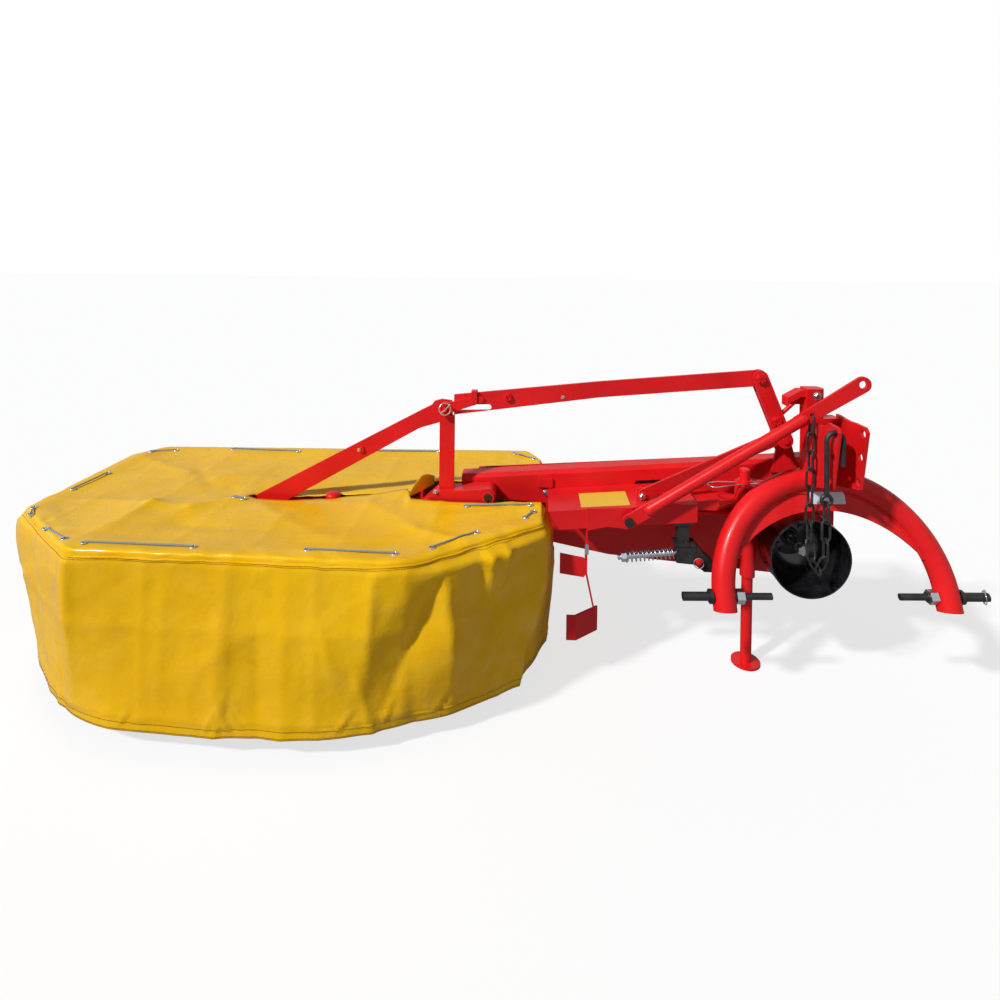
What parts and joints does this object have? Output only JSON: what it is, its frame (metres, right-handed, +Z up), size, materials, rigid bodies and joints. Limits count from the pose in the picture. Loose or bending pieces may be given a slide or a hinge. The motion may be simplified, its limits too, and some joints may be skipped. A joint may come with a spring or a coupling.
{
  "type": "drum mower",
  "caption": "Tractor-mounted rotary drum mower with a bow headstock, swinging belt-drive arm, lift linkage, and a cutting unit under a cloth cover.",
  "frame": {"origin": "centre of the bounding box on the floor", "axes": "+X to the machine's left (headstock end), -Y towards the tractor, +Z up"},
  "size_m": [3.3776, 1.1864, 1.121],
  "materials": {
    "red_paint": "glossy",
    "bare_steel": "satin",
    "zinc_plate": "satin",
    "black_steel": "satin",
    "black_plastic": "glossy",
    "yellow_cloth": "satin"
  },
  "bodies": {
    "headstock": {"headstock_bow": "red_paint", "headstock_post": "red_paint", "headstock_web": "red_paint", "arm_bracket": "red_paint", "lower_pin_right": "black_steel", "lower_pin_left": "black_steel", "lower_nut_right": "zinc_plate", "lower_nut_left": "zinc_plate", "kingpin": "red_paint", "hook": "black_steel"},
    "leg": {"support_leg": "red_paint"},
    "arm": {"arm_beam": "red_paint", "belt_housing": "red_paint", "pto_guard": "black_plastic", "lift_frame": "red_paint", "stay_tube": "red_paint", "chain": "black_steel", "stay_bolt": "black_steel", "latch_rod": "zinc_plate", "latch_spring": "zinc_plate", "latch_block": "black_steel", "guard_stay": "red_paint"},
    "pto": {"pto_stub": "bare_steel"},
    "crank": {"lift_crank": "red_paint", "lift_link": "red_paint"},
    "bar": {"lift_bar": "red_paint"},
    "unit": {"unit_beam": "red_paint", "unit_post": "red_paint", "cover": "yellow_cloth", "cover_rails_front": "red_paint", "cover_rails_back": "red_paint"},
    "drum_in": {"drum_inner": "red_paint", "knives_inner": "bare_steel"},
    "drum_out": {"drum_outer": "red_paint", "knives_outer": "bare_steel"},
    "skid_in": {"skid_inner": "bare_steel"},
    "skid_out": {"skid_outer": "bare_steel"}
  },
  "joints": [
    {"name": "leg_slide", "type": "slide", "parent": "headstock", "child": "leg", "axis": [0, 0, 1], "range_m": [0, 0.2]},
    {"name": "arm_swing", "type": "hinge", "parent": "headstock", "child": "arm", "pos_m": [0.94084, -0.19801, 0.6], "axis": [0, 0, 1], "range_deg": [-7, 4], "deforming": ["chain"]},
    {"name": "unit_lift", "type": "hinge", "parent": "arm", "child": "unit", "pos_m": [0.01599, -0.06316, 0.612], "axis": [0.0698, 0.9976, 0], "range_deg": [-3, 20]},
    {"name": "crank_pivot", "type": "hinge", "parent": "arm", "child": "crank", "pos_m": [1.09436, -0.13857, 0.852], "axis": [0.0698, 0.9976, 0], "range_deg": [-5.9, 30.7]},
    {"name": "bar_pivot", "type": "hinge", "parent": "crank", "child": "bar", "pos_m": [1.00014, -0.16707, 1.077], "axis": [0.0698, 0.9976, 0], "range_deg": [-29.7, 5.7]},
    {"name": "drum_inner_spin", "type": "hinge", "parent": "unit", "child": "drum_in", "pos_m": [-0.30822, -0.04049, 0.3], "axis": [0, 0, 1], "continuous": true},
    {"name": "drum_outer_spin", "type": "hinge", "parent": "unit", "child": "drum_out", "pos_m": [-1.13121, 0.01706, 0.3], "axis": [0, 0, 1], "continuous": true},
    {"name": "pto_spin", "type": "hinge", "parent": "arm", "child": "pto", "pos_m": [1.14688, -0.14726, 0.47], "axis": [0.0698, 0.9976, 0], "continuous": true},
    {"name": "skid_inner_spin", "type": "hinge", "parent": "drum_in", "child": "skid_in", "pos_m": [-0.30822, -0.04049, 0.03], "axis": [0, 0, 1], "continuous": true},
    {"name": "skid_outer_spin", "type": "hinge", "parent": "drum_out", "child": "skid_out", "pos_m": [-1.13121, 0.01706, 0.03], "axis": [0, 0, 1], "continuous": true}
  ],
  "couplings": [
    {"joint": "crank_pivot", "follows": "unit_lift", "ratio": 1.462},
    {"joint": "bar_pivot", "follows": "unit_lift", "ratio": -1.412},
    {"joint": "drum_outer_spin", "follows": "drum_inner_spin", "ratio": -1},
    {"joint": "pto_spin", "follows": "drum_inner_spin", "ratio": 0.3}
  ]
}
